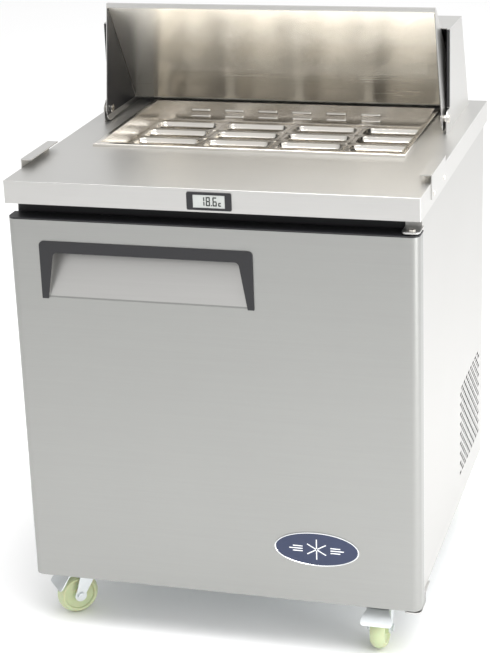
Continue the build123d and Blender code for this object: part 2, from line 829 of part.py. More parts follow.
def make_hinge_brackets():
    """Top and bottom door hinges: plates that reach forward from the cabinet over and under the door."""
    left = hinge_x - hinge_half_width
    right = hinge_x + hinge_half_width - 1
    low = door_top + hinge_gap
    front = hinge_back - hinge_half_width + 4
    top = block(left, right, front, cabinet_front, low, low + hinge_plate)
    top = fillet(top.edges().filter_by(Axis.Z).sort_by(Axis.Y)[:2], hinge_half_width * 0.6)
    top += block(left, cabinet_half - side_sheet, cabinet_front - hinge_plate, cabinet_front,
                 low, worktop_height - apron_height - 2)
    high = door_bottom - hinge_gap
    foot = block(left, right, front, cabinet_front + 2 * hinge_plate, high - hinge_plate, high)
    foot = fillet(foot.edges().filter_by(Axis.Z).sort_by(Axis.Y)[:2], hinge_half_width * 0.6)
    foot += block(left, right, cabinet_front + hinge_plate, cabinet_front + 2 * hinge_plate,
                  high - hinge_plate, cabinet_bottom)
    foot += block(left, right, cabinet_front + hinge_plate, cabinet_front + 2 * hinge_plate + hinge_foot,
                  cabinet_bottom - hinge_plate, cabinet_bottom)
    return top + foot - hinge_hole(high - hinge_plate - 1, low + hinge_plate + 1,
                                   hinge_pin_radius + running_fit)


def make_hinge_pins():
    """Headed pins for the door's top and bottom hinges and for the lid."""
    upper = door_top + hinge_gap + hinge_plate
    lower = door_bottom - hinge_gap - hinge_plate
    pins = hinge_hole(door_top - hinge_pin_depth, upper, hinge_pin_radius)
    pins += hinge_hole(upper, upper + hinge_head, hinge_pin_radius + hinge_head_rim)
    pins += hinge_hole(lower, door_bottom + hinge_pin_depth, hinge_pin_radius)
    pins += hinge_hole(lower - hinge_head, lower, hinge_pin_radius + hinge_head_rim)
    return pins + both_sides(make_lid_pin())


# ---- Shelf ---------------------------------------------------------------------------------------------
def make_shelf():
    half = room_half - shelf_side_gap
    shelf = Part()
    for x in (-half, half):
        shelf += rod_y(shelf_front, shelf_back, x, shelf_height, shelf_rod)
    for y in (shelf_front + 2 * shelf_rod, (shelf_front + shelf_back) / 2, shelf_back - 2 * shelf_rod):
        shelf += rod_x(-half, half, y, shelf_height, shelf_cross_rod)
    step = 2 * half / (shelf_wires + 1)
    wire_height = shelf_height + shelf_cross_rod + shelf_wire - shelf_weld
    for wire in range(1, shelf_wires + 1):
        shelf += rod_y(shelf_front, shelf_back, -half + wire * step, wire_height, shelf_wire)
    return shelf


def make_shelf_clips():
    top = shelf_height - shelf_rod - clip_gap
    clips = Part()
    for y in (shelf_front + clip_inset, shelf_back - clip_inset):
        clips += both_sides(block(room_half - clip_size, room_half, y - clip_size / 2, y + clip_size / 2,
                                  top - clip_height, top))
    return clips


# ---- Machinery -----------------------------------------------------------------------------------------
def make_compressor():
    foot_half = compressor_radius + compressor_foot_reach
    base = block(compressor_x - foot_half, compressor_x + foot_half,
                 compressor_y - compressor_foot_depth / 2, compressor_y + compressor_foot_depth / 2,
                 floor_top, floor_top + compressor_foot)
    pot = rod_z(floor_top + compressor_foot, floor_top + compressor_foot + compressor_height,
                compressor_x, compressor_y, compressor_radius)
    pot = fillet(pot.faces().sort_by(Axis.Z)[-1].edges(), compressor_shoulder)
    stub = rod_y(compressor_y - compressor_radius - suction_stub_length, compressor_y,
                 compressor_x, floor_top + suction_stub_height, suction_stub_radius)
    return base + pot + stub


def make_condenser_coil():
    """Finned block with end plates, standing behind the side vents."""
    high = vent_bottom + vent_rows * vent_row_pitch
    back = coil_x + coil_thickness
    coil = block(coil_x + coil_core_inset, back - coil_core_inset, vent_front, vent_back, floor_top, high)
    step = (high - floor_top - coil_fin) / (coil_fins - 1)
    for fin in range(coil_fins):
        low = floor_top + fin * step
        coil += block(coil_x, back, vent_front, vent_back, low, low + coil_fin)
    for y in (vent_front, vent_back - coil_end_plate):
        coil += block(coil_x, back, y, y + coil_end_plate, floor_top, high)
    return coil


def make_fan(radius):
    """A hub with pitched blades, its shaft along Z."""
    fan = Cylinder(fan_hub_radius, fan_hub_length)
    reach = radius - fan_hub_radius
    for blade in range(fan_blades):
        vane = Rot(fan_blade_pitch, 0, 0) * Box(reach + 2 * fan_blade_root, reach * fan_blade_chord,
                                                fan_blade_sheet)
        vane = Pos(fan_hub_radius + reach / 2 - fan_blade_root, 0, 0) * vane
        fan += Rot(0, 0, blade * 360 / fan_blades) * vane
    return fan - Cylinder(shaft_radius + running_fit, fan_hub_length + 2)


def make_fan_motor(fan_radius, shroud):
    """Motor on three arms in front of a holed shroud plate. The fan turns between them about Z."""
    opening = fan_radius + fan_gap
    rear = -fan_hub_length / 2 - fan_gap
    motor = Pos(0, 0, rear - motor_length / 2) * Cylinder(motor_radius, motor_length)
    motor += Pos(0, 0, rear / 2) * Cylinder(shaft_radius, fan_hub_length - rear)
    plate_z = fan_hub_length / 2 + shroud_gap
    plate = Pos(0, 0, plate_z) * (Box(shroud, shroud, shroud_sheet) - Cylinder(opening, 4 * shroud_sheet))
    post_place = opening + post_inset
    post_end = rear - motor_length / 2
    post = Pos(post_place, 0, (plate_z + post_end) / 2) * Cylinder(post_radius, plate_z - post_end)
    arm_root = motor_radius - motor_arm_sheet
    arm = Pos((post_place + arm_root) / 2, 0, post_end + motor_arm_sheet)
    arm *= Box(post_place - arm_root, motor_arm_width, motor_arm_sheet)
    for corner in range(motor_arms):
        plate += Rot(0, 0, 45 + corner * 90) * (post + arm)
    return motor + plate


def at_condenser(piece):
    """Places a fan piece so that its axis runs along X beside the condenser coil."""
    x = coil_x - shroud_sheet / 2 - shroud_gap - fan_hub_length / 2
    return Pos(x, fan_y, fan_z) * Rot(0, 90, 0) * piece


def at_evaporator(piece):
    """Places a fan piece so that its axis runs along Y in front of the evaporator coil."""
    y = evaporator_front - shroud_sheet / 2 - shroud_gap - fan_hub_length / 2
    return Pos(evaporator_fan_x, y, evaporator_fan_z) * Rot(-90, 0, 0) * piece


def make_fan_motors():
    condenser = make_fan_motor(condenser_fan_radius, condenser_shroud)
    evaporator = make_fan_motor(evaporator_fan_radius, evaporator_shroud)
    return at_condenser(condenser) + at_evaporator(evaporator)


def make_evaporator_coil():
    """Finned block whose end plates stand off the room's rear wall."""
    right = evaporator_left + evaporator_width
    high = evaporator_bottom + evaporator_height
    coil = block(evaporator_left, right,
                 evaporator_front + coil_core_inset, evaporator_back - coil_core_inset,
                 evaporator_bottom, high)
    step = evaporator_width / (coil_fins + 1)
    for fin in range(1, coil_fins + 1):
        x = evaporator_left + fin * step
        coil += block(x, x + coil_fin, evaporator_front, evaporator_back, evaporator_bottom, high)
    for x in (evaporator_left, right - coil_end_plate):
        coil += block(x, x + coil_end_plate, evaporator_front, upper_room_back, evaporator_bottom, high)
    return coil


def make_control_box():
    width, depth, height = control_box_size
    wall = control_box_wall
    left = control_box_side_gap - inside_half
    front = machine_room_front + control_box_front_gap
    box = block(left, left + width, front, front + depth, floor_top, floor_top + height)
    box = fillet(box.edges().filter_by(Axis.Z), control_box_corner)
    return box - block(left + wall, left + width - wall, front + wall, front + depth - wall,
                       floor_top + wall, floor_top + height - wall)


def make_power_inlet():
    """Cord gland in the back panel. It ends inside the worktop's overhang."""
    front = cabinet_back - inlet_length
    gland = rod_y(front, worktop_depth - 1, inlet_x, inlet_z, inlet_radius)
    flange = rod_y(cabinet_back, cabinet_back + inlet_flange, inlet_x, inlet_z,
                   inlet_radius + inlet_flange_rim)
    return gland + flange - rod_y(front - 1, worktop_depth, inlet_x, inlet_z, cord_hole_radius)


# ---- Casters: each drawn about its own swivel axis with the wheel towards -Y ----------------------------
def caster_place(corner):
    side = -1 if corner.endswith("left") else 1
    front = corner.startswith("front")
    y = cabinet_front + caster_front_inset if front else cabinet_back - caster_rear_inset
    return Pos(side * caster_x, y, 0)


def turned(corner, piece):
    return caster_place(corner) * Rot(0, 0, caster_angles[corner]) * piece


def make_caster_plates():
    top = cabinet_bottom - caster_plate_sheet
    plate = block(-caster_plate_width / 2, caster_plate_width / 2, -caster_plate_depth / 2,
                  caster_plate_depth / 2, top, cabinet_bottom)
    plate = fillet(plate.edges().filter_by(Axis.Z), caster_plate_corner)
    plate += rod_z(top - race_height, top, 0, 0, race_radius)
    plate -= rod_z(top - race_height - 1, cabinet_bottom + 1, 0, 0, king_pin_radius + running_fit)
    for x in (-1, 1):
        for y in (-1, 1):
            bolt_x = x * (caster_plate_width / 2 - bolt_side_inset)
            bolt_y = y * (caster_plate_depth / 2 - bolt_end_inset)
            plate += rod_z(top - bolt_head, top, bolt_x, bolt_y, bolt_head_radius)
    return [caster_place(corner) * plate for corner in caster_angles]


def make_fork():
    """Crown, legs and king pin, with the axle bolt as a second solid."""
    inner = hub_width / 2 + hub_gap
    outer = inner + fork_sheet
    crown_top = fork_crown + fork_crown_sheet
    leg_face = outline([(fork_back, crown_top), (-fork_front, crown_top),
                        (-trail - fork_leg_front, wheel_radius), (-trail + fork_leg_back, wheel_radius)])
    leg_face += Pos(-trail, wheel_radius) * Circle(fork_foot_radius)
    fork = both_sides(side_profile(leg_face, inner, outer))
    fork += block(-outer, outer, -fork_front, fork_back, fork_crown, crown_top)
    fork += rod_z(crown_top, fork_race_top, 0, 0, race_radius - 2)
    fork += rod_z(fork_race_top, cabinet_bottom - 1, 0, 0, king_pin_radius)
    fork -= rod_x(-outer - 1, outer + 1, -trail, wheel_radius, axle_radius + running_fit)
    axle = rod_x(-outer, outer, -trail, wheel_radius, axle_radius)
    hexagon = Pos(-trail, wheel_radius) * RegularPolygon(axle_head_radius, 6)
    axle += side_profile(hexagon, outer, outer + axle_head)
    axle += side_profile(hexagon, -outer - axle_head, -outer)
    return fork + axle


def make_wheel():
    """Crowned nylon wheel with a wider hub."""
    bore = axle_radius + running_fit
    half_hub = hub_width / 2
    half_tread = wheel_width / 2
    web = hub_radius + web_rim
    shoulder = wheel_radius - wheel_crown
    left = [(-half_tread, shoulder), (-half_tread, web), (hub_chamfer - half_tread, hub_radius),
            (-half_hub, hub_radius), (-half_hub, bore)]
    right = [(-x, radius) for x, radius in reversed(left)]
    flank = Polyline(*left, *right)
    tread = ThreePointArc((half_tread, shoulder), (0, wheel_radius), (-half_tread, shoulder))
    wheel = revolve(make_face(flank + tread), Axis.X)
    return Pos(0, -trail, wheel_radius) * wheel


def make_pedal():
    """Brake pedal: a folded plate with two ears that hang on the fork's crown."""
    ear_inner = hub_width / 2 + hub_gap + fork_sheet + pedal_ear_gap
    lip = -trail - wheel_radius - pedal_lip_reach
    root = pedal_pivot_y - pedal_ear_reach + 2
    fold_z = pedal_pivot_z - pedal_fold_drop
    lip_z = pedal_pivot_z - pedal_lip_drop
    top = outline([(root, pedal_pivot_z - pedal_sheet), (root, pedal_pivot_z),
                   (lip + pedal_fold, fold_z), (lip, lip_z), (lip + pedal_sheet, lip_z - 1),
                   (lip + pedal_fold + 1, fold_z - pedal_sheet)])
    pedal = side_profile(top, -pedal_half_width, pedal_half_width)
    back = pedal_pivot_y - pedal_ear_reach
    low = pedal_pivot_z - pedal_ear_drop
    ear = outline([(back, low), (back, pedal_pivot_z), (pedal_pivot_y, pedal_pivot_z + pedal_ear_radius),
                   (pedal_pivot_y, low)])
    ear += Pos(pedal_pivot_y, pedal_pivot_z) * Circle(pedal_ear_radius)
    return pedal + both_sides(side_profile(ear, ear_inner, pedal_half_width))


def main():
    os.makedirs("parts", exist_ok=True)
    right = make_side_panel()
    save("right_side_panel", right - vent_slots())
    save("left_side_panel", mirror(right, about=Plane.YZ))
    save("back_panel", make_back_panel())
    save("base_panel", make_base_panel())
    save("cabinet_insulation", make_insulation())
    save("cabinet_liner", make_cabinet_liner())
    save("front_frame", make_front_frame())
    save("worktop", make_worktop())
    save("well_liner", make_well_liner())
    for row in range(pan_rows):
        for column in range(pan_columns):
            save(f"pan_row{row + 1}_column{column + 1}", make_pan(column, row))
    save("board_brackets", make_brackets())
    save("bracket_screws", make_bracket_screws())
    save("thermometer_bezel", make_meter_bezel())
    save("thermometer_display", make_meter_display())
    save("rear_hood", make_hood())
    save("hood_gasket", make_hood_gasket())
    save("lid_shell", make_lid_shell())
    save("lid_inner_panel", make_lid_inner_panel())
    save("door_skin", make_door_skin())
    save("door_caps", make_door_caps())
    save("door_liner", make_door_liner())
    save("door_foam", make_door_foam())
    save("door_gasket", make_door_gasket())
    save("handle_pocket", make_handle_pocket())
    save("handle_trim", make_handle_trim())
    save("name_badge", make_badge())
    save("door_hinge_brackets", make_hinge_brackets())
    save("hinge_pins", make_hinge_pins())
    save("wire_shelf", make_shelf())
    save("shelf_clips", make_shelf_clips())
    save("compressor", make_compressor())
    save("condenser_coil", make_condenser_coil())
    save("evaporator_coil", make_evaporator_coil())
    save("fan_motors", make_fan_motors())
    save("condenser_fan", at_condenser(make_fan(condenser_fan_radius)))
    save("evaporator_fan", at_evaporator(make_fan(evaporator_fan_radius)))
    save("control_box", make_control_box())
    save("power_inlet", make_power_inlet())
    save("caster_plates", Compound(children=make_caster_plates()))
    for corner in caster_angles:
        save(f"caster_fork_{corner}", turned(corner, make_fork()))
        save(f"caster_wheel_{corner}", turned(corner, make_wheel()))
    for corner in ("front_left", "front_right"):
        save(f"brake_pedal_{corner}", turned(corner, make_pedal()))


if __name__ == "__main__":
    main()
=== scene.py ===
"""Sandwich prep table on casters: its finishes, its pressed and moulded pieces, and a plain studio."""
import json
import math

import bpy
from bpy.props import FloatProperty, FloatVectorProperty, PointerProperty
from mathutils import Matrix, Vector


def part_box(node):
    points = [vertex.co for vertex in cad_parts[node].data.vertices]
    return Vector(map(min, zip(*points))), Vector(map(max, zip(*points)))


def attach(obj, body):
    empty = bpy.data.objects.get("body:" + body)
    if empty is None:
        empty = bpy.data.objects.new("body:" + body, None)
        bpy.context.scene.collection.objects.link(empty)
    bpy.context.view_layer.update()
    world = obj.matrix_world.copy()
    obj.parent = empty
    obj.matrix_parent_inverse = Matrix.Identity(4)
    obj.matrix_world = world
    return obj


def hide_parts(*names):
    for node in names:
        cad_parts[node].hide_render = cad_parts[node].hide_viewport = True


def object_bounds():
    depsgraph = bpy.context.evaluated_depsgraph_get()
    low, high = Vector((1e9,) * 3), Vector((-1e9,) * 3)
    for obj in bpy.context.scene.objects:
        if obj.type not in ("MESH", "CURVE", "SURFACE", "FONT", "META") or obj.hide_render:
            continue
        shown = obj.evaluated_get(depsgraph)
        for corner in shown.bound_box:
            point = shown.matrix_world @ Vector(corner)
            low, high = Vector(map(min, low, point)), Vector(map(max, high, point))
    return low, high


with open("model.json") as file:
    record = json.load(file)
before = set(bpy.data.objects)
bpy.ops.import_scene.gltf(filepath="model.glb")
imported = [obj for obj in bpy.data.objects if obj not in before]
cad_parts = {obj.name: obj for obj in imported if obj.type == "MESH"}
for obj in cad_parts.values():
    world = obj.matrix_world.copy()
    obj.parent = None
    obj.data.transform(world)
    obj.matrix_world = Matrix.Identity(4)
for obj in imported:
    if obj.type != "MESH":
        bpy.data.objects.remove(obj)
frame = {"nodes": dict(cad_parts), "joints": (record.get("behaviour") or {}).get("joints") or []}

bl_info = {
    "name": "Sandwich Prep Table",
    "version": (1, 0, 0),
    "blender": (4, 5, 0),
    "location": "View3D > Sidebar > Prep Table",
    "description": "Finishes and detail pieces for a refrigerated sandwich prep table",
    "category": "Object",
}

CAD_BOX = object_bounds()
CORNERS = ("front_left", "front_right", "rear_left", "rear_right")
PAN_ROWS = (1, 2, 3)
PAN_COLUMNS = (1, 2, 3, 4)
MM = 0.001
SHARP_ANGLE = math.radians(35)     # edges that turn further than this stay crisp
FLOOR_REACH = 40.0
SENSOR_WIDTH = 36.0                # of the camera, in millimetres
WORLD_LEVEL = 0.74                 # strength of the surroundings, and how it grows along each axis
WORLD_ACROSS = 0.28
WORLD_BEHIND = 0.02
WORLD_ABOVE = 0.40


# ---- Sizes and colours that a user would change ----------------------------------------------------------
def colour(name, description, default):
    return FloatVectorProperty(name=name, description=description, default=default, subtype="COLOR",
                               min=0.0, max=1.0)


def share(name, description, default):
    return FloatProperty(name=name, description=description, default=default, subtype="FACTOR",
                         min=0.0, max=1.0)


def angle(name, description, default):
    return FloatProperty(name=name, description=description, default=math.radians(default),
                         subtype="ANGLE")


class FinishSettings(bpy.types.PropertyGroup):
    """Colours and roughness of the table's materials."""

    steel: colour("Brushed Steel", "Satin stainless steel of the outer sheets", (0.58, 0.575, 0.56))
    door_steel: colour("Door Steel", "Satin stainless steel of the door", (0.36, 0.362, 0.350))
    bright_steel: colour("Lid Lining", "Brighter steel inside the lid", (0.76, 0.735, 0.68))
    bright_roughness: share("Lid Lining Roughness", "How satin the lid's inside is", 0.24)
    steel_roughness: share("Brushed Roughness", "How satin the outer sheets are", 0.40)
    rolled: colour("Rolled Steel", "Bright stainless steel of the pans and well", (0.76, 0.73, 0.68))
    rolled_roughness: share("Rolled Roughness", "How dull the pans and well are", 0.22)
    zinc: colour("Zinc Plating", "Plated steel of the casters and panels", (0.72, 0.75, 0.76))
    aluminium: colour("Aluminium", "Liner sheets and coil fins", (0.80, 0.81, 0.82))
    black: colour("Black Plastic", "Trims, caps, frame and bezel", (0.012, 0.012, 0.014))
    navy: colour("Badge Enamel", "Domed face of the badge", (0.012, 0.024, 0.075))
    nylon: colour("Caster Nylon", "Cream nylon of the wheels", (0.52, 0.58, 0.35))
    foam: colour("Foam", "Insulation in the walls", (0.80, 0.70, 0.42))


class StageSettings(bpy.types.PropertyGroup):
    """Floor, lights and camera."""

    floor: colour("Floor", "Pale floor", (0.93, 0.93, 0.93))
    azimuth: angle("Azimuth", "Camera's turn towards the right of the front", 16.52)
    elevation: angle("Elevation", "Camera's height above the horizon", 19.86)
    roll: angle("Roll", "Camera's tilt to one side", -2.16)
    camera: FloatVectorProperty(name="Camera", description="Camera's place", subtype="XYZ",
                                default=(0.9747, -3.4397, 1.8131), unit="LENGTH")
    lens: FloatProperty(name="Lens", description="Focal length in millimetres", default=102.76)


class PrepTableSettings(bpy.types.PropertyGroup):
    """Everything that the operators read."""

    finish: PointerProperty(type=FinishSettings)
    stage: PointerProperty(type=StageSettings)


# ---- Shader maths ----------------------------------------------------------------------------------------
class Wire:
    """A socket in a material. Arithmetic on it adds Math nodes."""

    def __init__(self, tree, socket):
        self.tree = tree
        self.socket = socket

    def maths(self, operation, first, second):
        return self.tree.node("ShaderNodeMath", {"operation": operation}, {0: first, 1: second})

    def __add__(self, other):
        return self.maths("ADD", self, other)

    def __radd__(self, other):
        return self.maths("ADD", other, self)

    def __sub__(self, other):
        return self.maths("SUBTRACT", self, other)

    def __rsub__(self, other):
        return self.maths("SUBTRACT", other, self)

    def __mul__(self, other):
        return self.maths("MULTIPLY", self, other)

    def __rmul__(self, other):
        return self.maths("MULTIPLY", other, self)


class Tree:
    """A node tree with one way to add any node."""

    def __init__(self, node_tree):
        self.nodes = node_tree.nodes
        self.links = node_tree.links

    def node(self, kind, settings=None, inputs=None, output=0):
        made = self.nodes.new(kind)
        for name, value in (settings or {}).items():
            setattr(made, name, value)
        self.feed(made, inputs or {})
        return Wire(self, made.outputs[output])

    def feed(self, node, inputs):
        for socket, value in inputs.items():
            if isinstance(value, Wire):
                self.links.new(value.socket, node.inputs[socket])
            else:
                node.inputs[socket].default_value = value

    def place(self):
        return self.node("ShaderNodeTexCoord", output="Object")

    def stretched(self, scale):
        return self.node("ShaderNodeVectorMath", {"operation": "MULTIPLY"}, {0: self.place(), 1: scale})

    def noise(self, vector, scale, detail=3.0, roughness=0.5):
        return self.node("ShaderNodeTexNoise", {}, {"Vector": vector, "Scale": scale, "Detail": detail,
                                                    "Roughness": roughness})

    def cells(self, vector, scale):
        return self.node("ShaderNodeTexVoronoi", {}, {"Vector": vector, "Scale": scale})

    def blend(self, factor, first, second):
        """A colour between two colours."""
        return self.node("ShaderNodeMix", {"data_type": "RGBA"},
                         {"Factor": factor, 6: (*first, 1.0), 7: (*second, 1.0)}, output=2)

    def bump(self, height, strength, distance):
        return self.node("ShaderNodeBump", {}, {"Strength": strength, "Distance": distance, "Height": height})


def scaled(base, factor):
    return tuple(min(1.0, part * factor) for part in base)


def make_finish(name, paint, **constants):
    """A material whose constants are set on the shader and whose varying sockets come from paint."""
    material = bpy.data.materials.new(name)
    material.use_nodes = True
    shader = material.node_tree.nodes["Principled BSDF"]
    tree = Tree(material.node_tree)
    for socket, value in constants.items():
        shader.inputs[socket.replace("_", " ").title()].default_value = value
    tree.feed(shader, paint(tree))
    return material


def brushed_steel(name, base, roughness, brush):
    """Satin sheet with fine scratches along one axis, faint clouding and handling marks."""
    fine = [900.0, 900.0, 900.0]
    fine["XYZ".index(brush)] = 9.0
    broad = [130.0, 130.0, 130.0]
    broad["XYZ".index(brush)] = 2.5

    def paint(tree):
        scratches = tree.noise(tree.stretched(fine), 1.0, 2.0)
        streaks = tree.noise(tree.stretched(broad), 1.0, 3.0)
        clouds = tree.noise(tree.place(), 3.5, 2.0)
        grain = scratches * 0.6 + streaks * 0.4
        return {
            "Base Color": tree.blend(grain, scaled(base, 0.93), scaled(base, 1.05)),
            "Roughness": roughness - 0.07 + grain * 0.10 + clouds * 0.06,
            "Normal": tree.bump(grain, 0.22, 0.00008),
        }

    return make_finish(name, paint, metallic=1.0)


def rolled_steel(base, roughness):
    """Bright pressed steel with slight draw marks and water spots."""
    def paint(tree):
        clouds = tree.noise(tree.place(), 14.0, 4.0)
        drawn = tree.noise(tree.stretched((60.0, 60.0, 9.0)), 1.0, 3.0)
        return {
            "Base Color": tree.blend(clouds, scaled(base, 0.90), scaled(base, 1.08)),
            "Roughness": roughness - 0.04 + clouds * 0.08,
            "Normal": tree.bump(drawn, 0.15, 0.0004),
        }

    return make_finish("rolled_stainless_steel", paint, metallic=1.0)


def zinc_plate(base):
    """Zinc plating: cool, lightly mottled, duller in patches."""
    def paint(tree):
        mottle = tree.cells(tree.place(), 160.0)
        patches = tree.noise(tree.place(), 30.0, 4.0)
        return {
            "Base Color": tree.blend(patches, scaled(base, 0.82), scaled(base, 1.10)),
            "Roughness": 0.24 + mottle * 0.10 + patches * 0.16,
            "Normal": tree.bump(patches, 0.15, 0.0004),
        }

    return make_finish("zinc_plated_steel", paint, metallic=1.0)


def stucco_aluminium(base):
    """Embossed aluminium sheet."""
    def paint(tree):
        emboss = tree.noise(tree.place(), 170.0, 1.0)
        return {
            "Base Color": tree.blend(emboss, scaled(base, 0.88), scaled(base, 1.06)),
            "Roughness": 0.30 + emboss * 0.12,
            "Normal": tree.bump(emboss, 0.6, 0.0012),
        }

    return make_finish("stucco_aluminium", paint, metallic=1.0)


def finned_aluminium(base):
    """Coil fins: hundreds of thin edges, with dust in them."""
    def paint(tree):
        dust = tree.noise(tree.place(), 22.0, 5.0)
        fins = tree.noise(tree.stretched((1400.0, 1400.0, 1400.0)), 1.0, 1.0)
        return {
            "Base Color": tree.blend(dust, scaled(base, 0.55), base),
            "Roughness": 0.38 + dust * 0.2,
            "Normal": tree.bump(fins, 0.3, 0.0004),
        }

    return make_finish("finned_aluminium", paint, metallic=1.0)


def moulded_plastic(name, base, roughness, grain=0.00012, coat=0.0, metallic=0.0):
    """Moulded plastic with a fine spark-eroded grain and rubbed patches."""
    def paint(tree):
        spark = tree.noise(tree.place(), 1500.0, 2.0)
        rubbed = tree.noise(tree.place(), 11.0, 3.0)
        return {
            "Base Color": tree.blend(rubbed, scaled(base, 0.86), scaled(base, 1.16)),
            "Roughness": roughness - 0.06 + rubbed * 0.14,
            "Normal": tree.bump(spark, 0.35, grain),
        }

    return make_finish(name, paint, coat_weight=coat, coat_roughness=0.15, metallic=metallic)


def gasket_rubber():
    """Soft extruded rubber, matte with faint bloom."""
    def paint(tree):
        bloom = tree.noise(tree.place(), 28.0, 4.0)
        drag = tree.noise(tree.stretched((300.0, 40.0, 300.0)), 1.0, 2.0)
        return {
            "Base Color": tree.blend(bloom, (0.010, 0.010, 0.011), (0.026, 0.026, 0.028)),
            "Roughness": 0.55 + bloom * 0.2,
            "Normal": tree.bump(drag, 0.2, 0.0003),
        }

    return make_finish("gasket_rubber", paint)


def cut_foam(base):
    """Closed-cell foam with visible cells."""
    def paint(tree):
        cells = tree.cells(tree.place(), 420.0)
        return {
            "Base Color": tree.blend(cells, scaled(base, 0.75), base),
            "Roughness": 0.85 + cells * 0.1,
            "Normal": tree.bump(cells, 0.5, 0.001),
        }

    return make_finish("wall_foam", paint)


def nylon(base):
    """Cream nylon: waxy, a little translucent, scuffed on the tread."""
    def paint(tree):
        flow = tree.noise(tree.place(), 26.0, 3.0)
        scuffs = tree.noise(tree.stretched((240.0, 240.0, 60.0)), 1.0, 4.0)
        return {
            "Base Color": tree.blend(flow, scaled(base, 0.90), scaled(base, 1.07)),
            "Roughness": 0.30 + scuffs * 0.16,
            "Normal": tree.bump(scuffs, 0.1, 0.0003),
        }

    return make_finish("cream_nylon", paint, subsurface_weight=0.25, subsurface_scale=0.01)


def floor_paint(base):
    """Pale studio floor with the faintest mottling."""
    def paint(tree):
        mottle = tree.noise(tree.place(), 1.2, 2.0)
        return {"Base Color": tree.blend(mottle, scaled(base, 0.99), base), "Roughness": 0.7 + mottle * 0.05}

    return make_finish("studio_floor", paint)


FINISHES = {}


# ---- Pieces made here --------------------------------------------------------------------------------------
def span(node):
    """The middle and the size of a carried-over piece."""
    low, high = (Vector(corner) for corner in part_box(node))
    return (low + high) / 2, high - low


def add_piece(name, points, faces, finish, body, slot, node=None, smooth=True):
    """A mesh piece that rides on a body, and takes the place of a carried-over piece if it is given one."""
    mesh = bpy.data.meshes.new(name)
    mesh.from_pydata(points, [], faces)
    mesh.validate()
    mesh.materials.append(FINISHES[finish])
    piece = bpy.data.objects.new(name, mesh)
    bpy.context.scene.collection.objects.link(piece)
    if smooth:
        mesh.shade_smooth()
        mesh.set_sharp_from_angle(angle=SHARP_ANGLE)
    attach(piece, body)
    if node:
        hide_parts(node)
    return piece


def rounded_ring(width, depth, corner, steps=6):
    """Points round a rectangle with rounded corners, anticlockwise from its right side."""
    ring = []
    for quarter in range(4):
        across = 1 if quarter in (0, 3) else -1
        along = 1 if quarter in (0, 1) else -1
        for step in range(steps + 1):
            turn = math.pi / 2 * (quarter + step / steps)
            ring.append((across * (width / 2 - corner) + corner * math.cos(turn),
                         along * (depth / 2 - corner) + corner * math.sin(turn)))
    return ring


def skin_faces(rings, count, looped=False):
    """Quads between rings of the same number of points: a closed loop of rings, or two filled ends."""
    faces = []
    for ring in range(rings if looped else rings - 1):
        following = (ring + 1) % rings
        for step in range(count):
            after = (step + 1) % count
            faces.append((ring * count + step, ring * count + after,
                          following * count + after, following * count + step))
    if not looped:
        faces.append(tuple(reversed(range(count))))
        faces.append(tuple((rings - 1) * count + step for step in range(count)))
    return faces


def lathe(profile, centre, axis, steps=64):
    """A bored solid turned about an axis from a closed line of (distance along the axis, radius) pairs."""
    axis = Vector(axis).normalized()
    side = axis.orthogonal().normalized()
    other = axis.cross(side)
    points = []
    for along, radius in profile:
        for step in range(steps):
            turn = 2 * math.pi * step / steps
            points.append(Vector(centre) + axis * along
                          + (side * math.cos(turn) + other * math.sin(turn)) * radius)
    return points, skin_faces(len(profile), steps, looped=True)


def prism(outline, low, high):
    """A plate of the given outline in Y and Z, between two X places."""
    count = len(outline)
    points = [(x, y, z) for x in (low, high) for y, z in outline]
    return points, skin_faces(2, count)


def joint_place(name):
    """A hinge's middle and axis."""
    joint = next(joint for joint in frame["joints"] if joint["name"] == name)
    return Vector(joint["pos_m"]), Vector(joint["axis"])


def bar_box(low, high):
    """A plain block between two corners."""
    points = [(x, y, z) for z in (low[2], high[2]) for x, y in
              ((low[0], low[1]), (high[0], low[1]), (high[0], high[1]), (low[0], high[1]))]
    return points, [(3, 2, 1, 0), (4, 5, 6, 7), (0, 1, 5, 4), (1, 2, 6, 5), (2, 3, 7, 6), (3, 0, 4, 7)]


def join_parts(parts):
    """Several (points, faces) pairs as one."""
    points, faces = [], []
    for part_points, part_faces in parts:
        start = len(points)
        points += part_points
        faces += [tuple(start + index for index in face) for face in part_faces]
    return points, faces


# ---- Pans ------------------------------------------------------------------------------------------------
PAN_FLANGE = (9 * MM, 8 * MM)      # flange width at the sides and at the ends
PAN_WALL = 1 * MM
PAN_DRAFT = 7 * MM
PAN_MOUTH_CORNER = 16 * MM
PAN_FLANGE_CORNER = 9 * MM
PAN_FLANGE_EDGE = 2 * MM
PAN_STEP = 7 * MM                  # stacking step below the mouth


